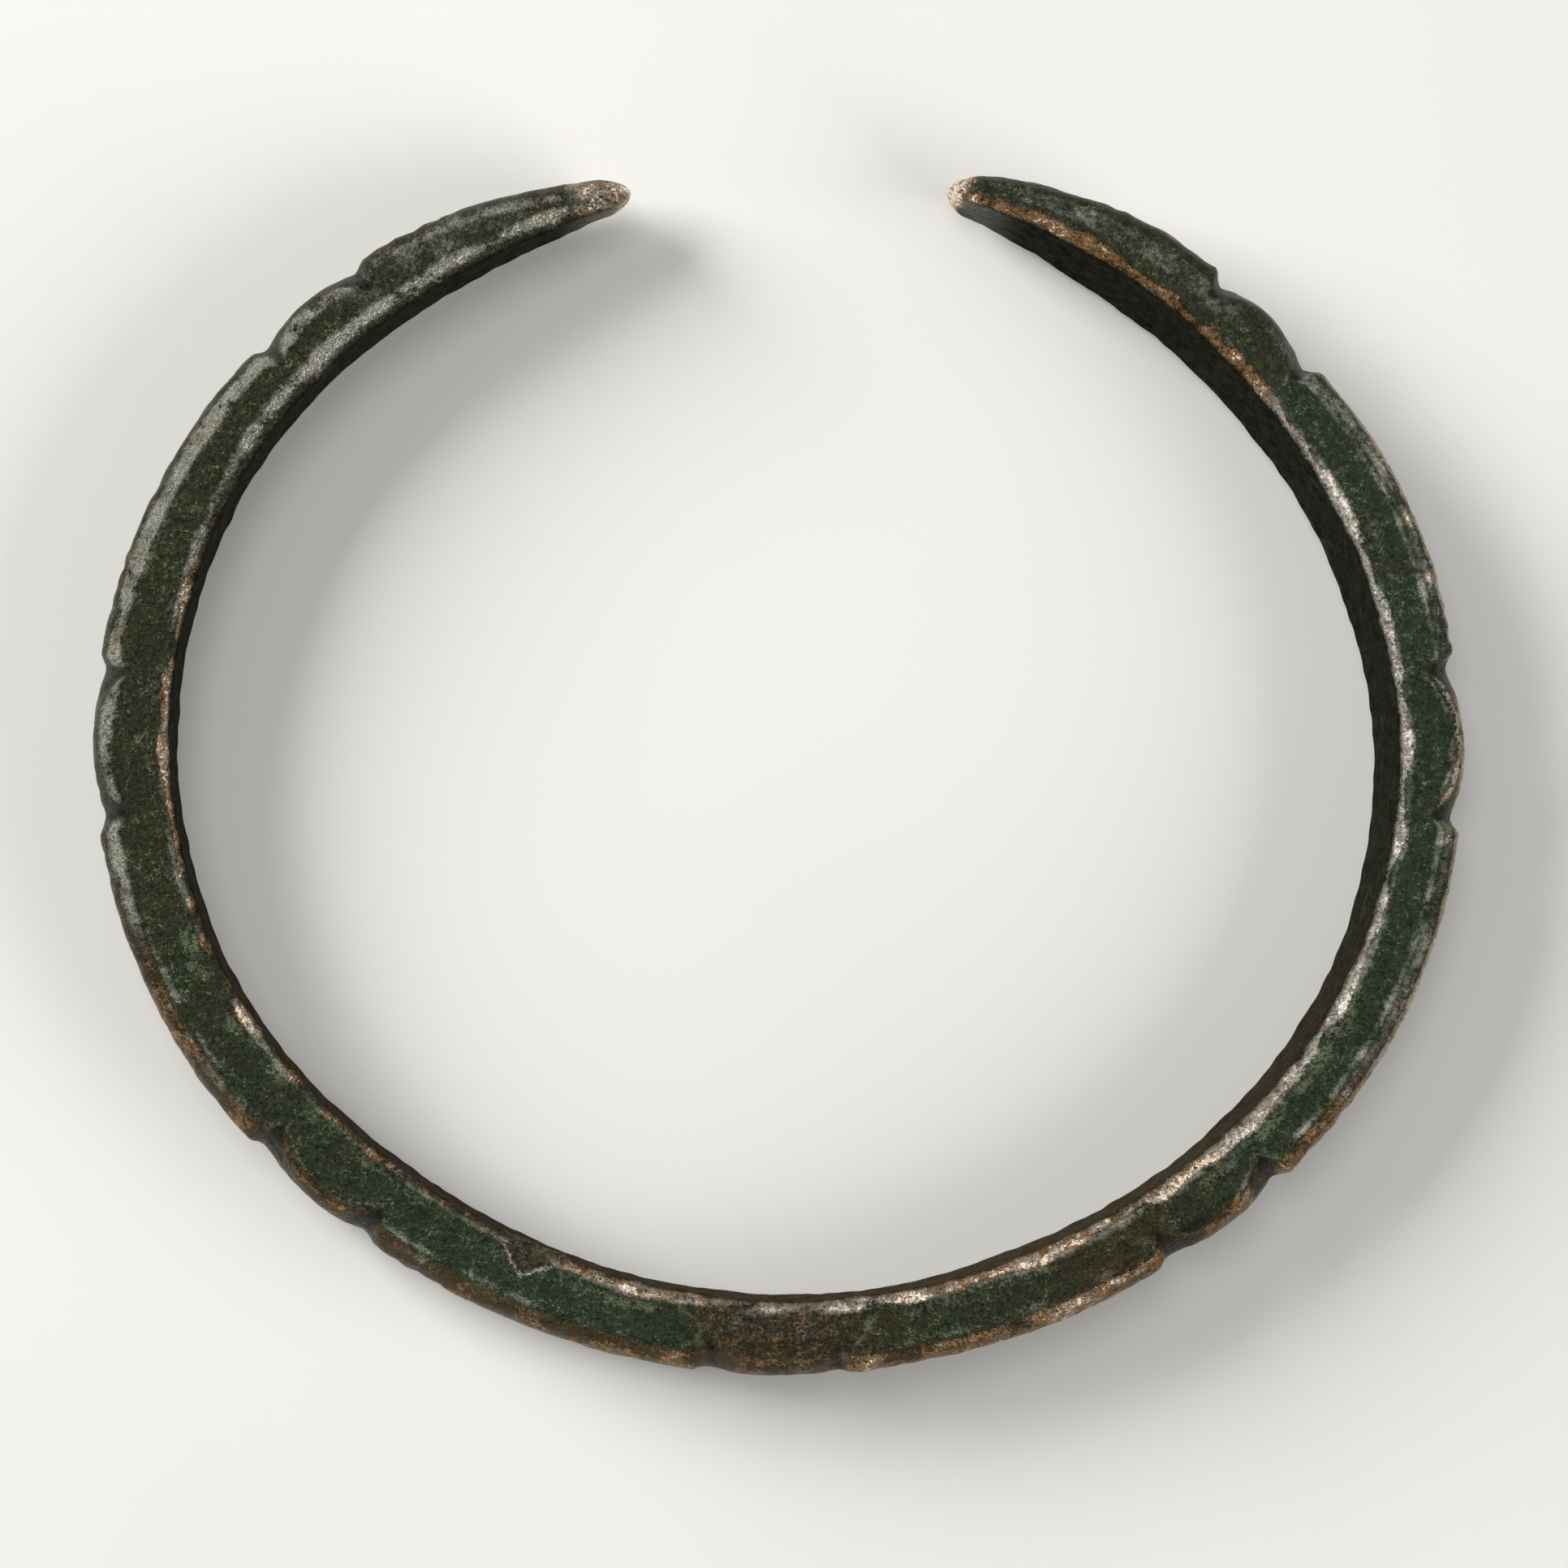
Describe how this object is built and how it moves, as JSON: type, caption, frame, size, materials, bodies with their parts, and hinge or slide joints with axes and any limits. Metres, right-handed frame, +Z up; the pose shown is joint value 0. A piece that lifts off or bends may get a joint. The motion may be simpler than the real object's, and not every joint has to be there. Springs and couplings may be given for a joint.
{
  "type": "bronze bracelet",
  "caption": "Open cast bronze bracelet with a rounded rectangular bar, notched lobes carved along it and two tapered, worn ends.",
  "frame": {"origin": "on the ground, under the middle of the bracelet as it lies flat", "axes": "+Z up out of the ground, +Y towards the opening between the two ends, +X across the widest way"},
  "size_m": [0.0706, 0.062, 0.0062],
  "materials": {
    "bronze": "aged bronze under a dark olive-green patina, worn to bare copper-coloured metal along the edges"
  },
  "bodies": {
    "root": {"bracelet": "bronze"}
  },
  "joints": []
}
